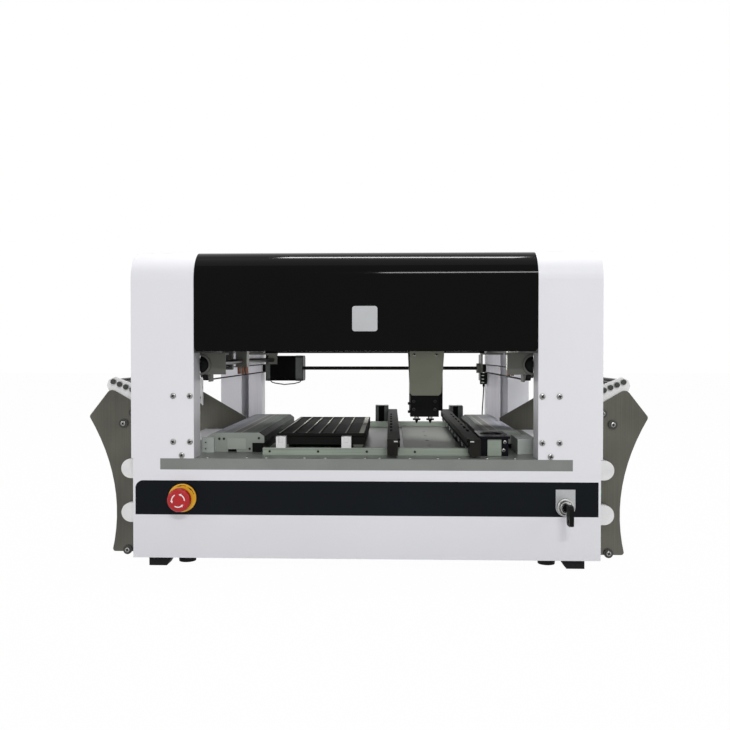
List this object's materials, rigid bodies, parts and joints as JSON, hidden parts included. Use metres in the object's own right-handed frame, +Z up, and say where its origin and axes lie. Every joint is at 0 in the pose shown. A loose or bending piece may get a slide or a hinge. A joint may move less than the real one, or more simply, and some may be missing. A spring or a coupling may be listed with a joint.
{
  "type": "desktop pick and place machine",
  "caption": "Desktop pick and place machine: black hood between white side covers over a table with board track, component tray, feeder rows and a gantry head.",
  "frame": {"origin": "middle of the overall box at the surface that the feet stand on", "axes": "+X to the right seen from the front, +Y to the back, +Z up"},
  "size_m": [0.87, 0.724, 0.48],
  "materials": {
    "white_paint": "fine textured white powder coat",
    "black_paint": "smooth gloss black coat",
    "band_black": "satin black overlay",
    "table_grey": "matt grey coat",
    "post_grey": "satin grey",
    "aluminium": "clear anodised",
    "dark_anodised": "dark anodised",
    "steel": "ground steel",
    "wing_steel": "brushed dark brown-grey",
    "motor_black": "satin black",
    "belt_rubber": "matt black",
    "black_plastic": "moulded black",
    "feeder_grey": "matt anodised",
    "light_grey": "moulded light grey",
    "white_plastic": "moulded white",
    "yellow": "yellow disc",
    "red": "red moulded",
    "green": "green moulded",
    "head_grey": "grey-green coat",
    "tray_black": "antistatic black",
    "rubber_foot": "matt black"
  },
  "bodies": {
    "base": {"base_housing": "white_paint", "front_band": "band_black", "table_plate": "table_grey", "left_side_cover": "white_paint", "right_side_cover": "white_paint", "frame_posts": "post_grey", "hood_cover": "black_paint", "y_beams": "aluminium", "y_rails": "steel", "y_brackets": "post_grey", "base_motors": "motor_black", "base_belts": "belt_rubber", "limit_sensor": "black_plastic", "cables": "belt_rubber", "fixed_rail": "dark_anodised", "cross_bars": "post_grey", "support_plate": "table_grey", "matrix_tray": "tray_black", "tray_carrier": "post_grey", "tray_clamps": "white_plastic", "up_camera": "black_plastic", "left_feeders": "feeder_grey", "right_feeders": "feeder_grey", "feeder_blocks": "black_plastic", "feeder_end_blocks": "light_grey", "left_wing_plates": "wing_steel", "right_wing_plates": "wing_steel", "wing_rods": "steel", "roller_plates": "white_plastic", "stop_plate": "yellow", "key_plate": "aluminium", "key_lock": "black_plastic", "button_guards": "light_grey", "feet": "rubber_foot", "rear_panel": "black_plastic"},
    "gantry": {"gantry_beam": "aluminium", "gantry_carriages": "dark_anodised", "x_motor": "motor_black", "x_belt": "belt_rubber"},
    "x_drive": {"x_drive_pulley": "aluminium"},
    "x_idle": {"x_idle_pulley": "aluminium"},
    "head": {"head_carriage": "dark_anodised", "head_cover": "head_grey", "nozzle_block": "dark_anodised", "z_motors": "motor_black"},
    "quill_left": {"left_quill": "steel"},
    "quill_right": {"right_quill": "steel"},
    "nozzle_left": {"left_nozzle": "black_plastic"},
    "nozzle_right": {"right_nozzle": "black_plastic"},
    "drive_shaft": {"y_shaft": "steel"},
    "idler_left": {"left_idler": "aluminium"},
    "idler_right": {"right_idler": "aluminium"},
    "track_width": {"moving_rail": "dark_anodised", "moving_rail_motor": "motor_black"},
    "pulley_fixed": {"fixed_pulley": "aluminium"},
    "pulley_moving": {"moving_pulley": "aluminium"},
    "emergency_stop": {"stop_button": "red"},
    "key_body": {"key": "black_plastic"},
    "button_red": {"red_button": "red"},
    "button_green": {"green_button": "green"}
  },
  "joints": [
    {"name": "gantry_slide", "type": "slide", "parent": "base", "child": "gantry", "axis": [0, 1, 0], "range_m": [-0.13, 0.3]},
    {"name": "head_slide", "type": "slide", "parent": "gantry", "child": "head", "axis": [1, 0, 0], "range_m": [-0.265, 0.085]},
    {"name": "left_quill_lift", "type": "slide", "parent": "head", "child": "quill_left", "axis": [0, 0, 1], "range_m": [-0.007, 0.007]},
    {"name": "right_quill_lift", "type": "slide", "parent": "head", "child": "quill_right", "axis": [0, 0, 1], "range_m": [-0.007, 0.007]},
    {"name": "left_nozzle_turn", "type": "hinge", "parent": "quill_left", "child": "nozzle_left", "pos_m": [0.083, -0.156, 0.21], "axis": [0, 0, 1], "continuous": true},
    {"name": "right_nozzle_turn", "type": "hinge", "parent": "quill_right", "child": "nozzle_right", "pos_m": [0.106, -0.156, 0.21], "axis": [0, 0, 1], "continuous": true},
    {"name": "y_shaft_turn", "type": "hinge", "parent": "base", "child": "drive_shaft", "pos_m": [0, 0.322, 0.2905], "axis": [1, 0, 0], "range_deg": [-2020, 880]},
    {"name": "left_idler_turn", "type": "hinge", "parent": "base", "child": "idler_left", "pos_m": [-0.2525, -0.262, 0.2905], "axis": [1, 0, 0], "range_deg": [-2020, 880]},
    {"name": "right_idler_turn", "type": "hinge", "parent": "base", "child": "idler_right", "pos_m": [0.2525, -0.262, 0.2905], "axis": [1, 0, 0], "range_deg": [-2020, 880]},
    {"name": "x_drive_turn", "type": "hinge", "parent": "gantry", "child": "x_drive", "pos_m": [0.236, -0.0605, 0.388], "axis": [0, 1, 0], "range_deg": [-1785, 580]},
    {"name": "x_idle_turn", "type": "hinge", "parent": "gantry", "child": "x_idle", "pos_m": [-0.236, -0.0605, 0.388], "axis": [0, 1, 0], "range_deg": [-1785, 580]},
    {"name": "track_width_slide", "type": "slide", "parent": "base", "child": "track_width", "axis": [1, 0, 0], "range_m": [-0.025, 0.06]},
    {"name": "fixed_pulley_turn", "type": "hinge", "parent": "base", "child": "pulley_fixed", "pos_m": [0.165, 0.343, 0.184], "axis": [1, 0, 0], "continuous": true},
    {"name": "moving_pulley_turn", "type": "hinge", "parent": "track_width", "child": "pulley_moving", "pos_m": [0.0436, 0.343, 0.184], "axis": [1, 0, 0], "continuous": true},
    {"name": "emergency_stop_push", "type": "slide", "parent": "base", "child": "emergency_stop", "axis": [0, 1, 0], "range_m": [0, 0.004], "stiffness_N_per_m": 300},
    {"name": "key_turn", "type": "hinge", "parent": "base", "child": "key_body", "pos_m": [0.2994, -0.323, 0.0948], "axis": [0, 1, 0], "range_deg": [0, 90]},
    {"name": "red_button_push", "type": "slide", "parent": "base", "child": "button_red", "axis": [1, 0, 0], "range_m": [0, 0.0025], "stiffness_N_per_m": 300},
    {"name": "green_button_push", "type": "slide", "parent": "base", "child": "button_green", "axis": [-1, 0, 0], "range_m": [0, 0.0025], "stiffness_N_per_m": 300}
  ],
  "couplings": [
    {"joint": "right_quill_lift", "follows": "left_quill_lift", "ratio": -1},
    {"joint": "y_shaft_turn", "follows": "gantry_slide", "rad_per_m": -116.96},
    {"joint": "left_idler_turn", "follows": "gantry_slide", "rad_per_m": -116.96},
    {"joint": "right_idler_turn", "follows": "gantry_slide", "rad_per_m": -116.96},
    {"joint": "x_drive_turn", "follows": "head_slide", "rad_per_m": 116.96},
    {"joint": "x_idle_turn", "follows": "head_slide", "rad_per_m": 116.96},
    {"joint": "moving_pulley_turn", "follows": "fixed_pulley_turn", "ratio": 1}
  ]
}
